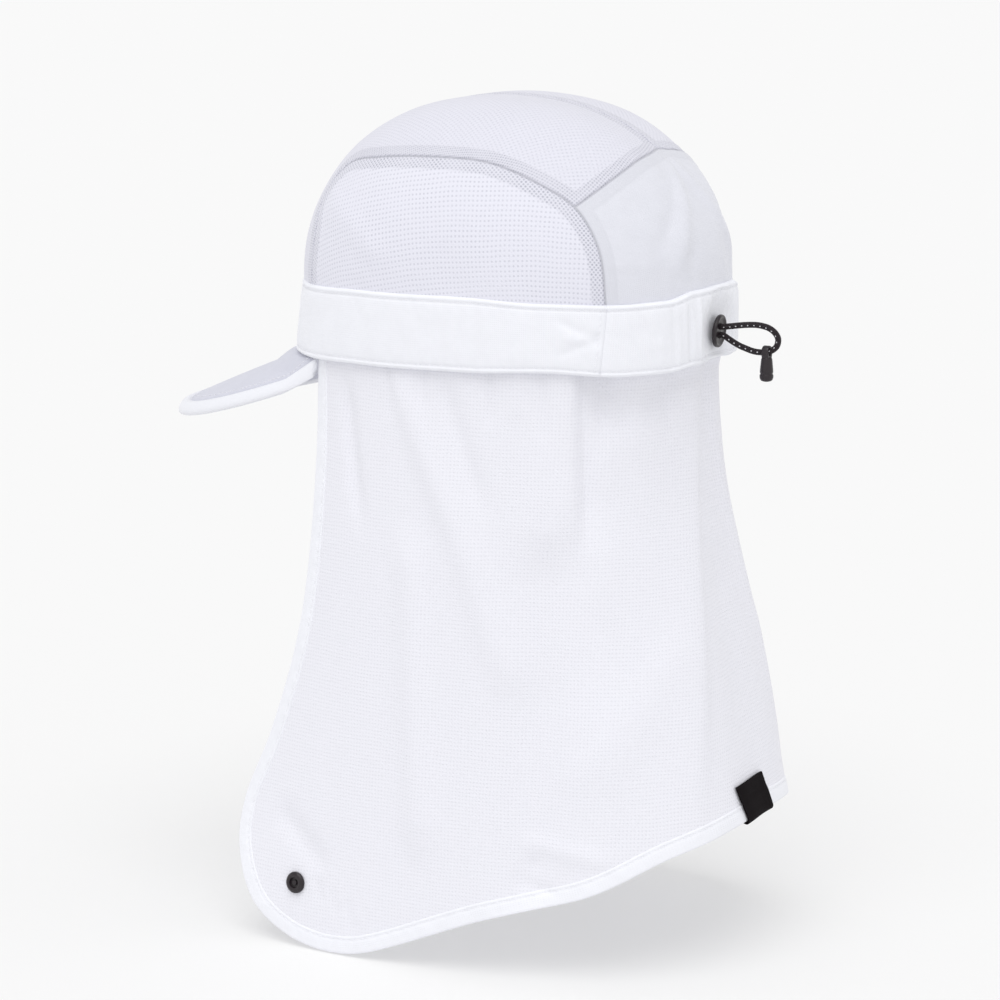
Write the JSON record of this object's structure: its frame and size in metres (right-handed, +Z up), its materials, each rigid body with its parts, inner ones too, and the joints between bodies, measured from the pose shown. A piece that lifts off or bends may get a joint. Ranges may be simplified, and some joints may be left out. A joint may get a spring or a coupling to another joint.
{
  "type": "running cap with neck cape",
  "caption": "White soft running cap with a padded visor, perforated crown panels, an elastic rear adjuster and a long hanging neck cape with a rounded hem.",
  "frame": {"origin": "centre of the head opening, level with the band's lower edge at the side", "axes": "+Z up, the front and the visor at -Y, the wearer's left at +X"},
  "size_m": [0.1842, 0.2866, 0.3653],
  "materials": {
    "crown_knit": "matt, finely perforated",
    "side_mesh": "matt, perforated",
    "woven_cloth": "smooth, slightly shiny",
    "visor_cloth": "smooth, padded",
    "cape_knit": "matt, finely perforated",
    "hem_cloth": "smooth, turned and stitched",
    "black_plastic": "moulded, slightly shiny",
    "label_weave": "matt woven tape",
    "elastic_cord": "braided, with white flecks"
  },
  "bodies": {
    "root": {"crown_top_left": "crown_knit", "crown_top_right": "crown_knit", "side_panel_left": "side_mesh", "side_panel_right": "side_mesh", "back_panel": "woven_cloth", "band_front": "woven_cloth", "band_rear_casing": "woven_cloth", "visor": "visor_cloth", "cape": "cape_knit", "cape_hem": "hem_cloth", "snap_left": "black_plastic", "snap_right": "black_plastic", "label_tab": "label_weave", "cord_disc": "black_plastic", "cord_loop": "elastic_cord", "cord_pull": "black_plastic"}
  },
  "joints": []
}
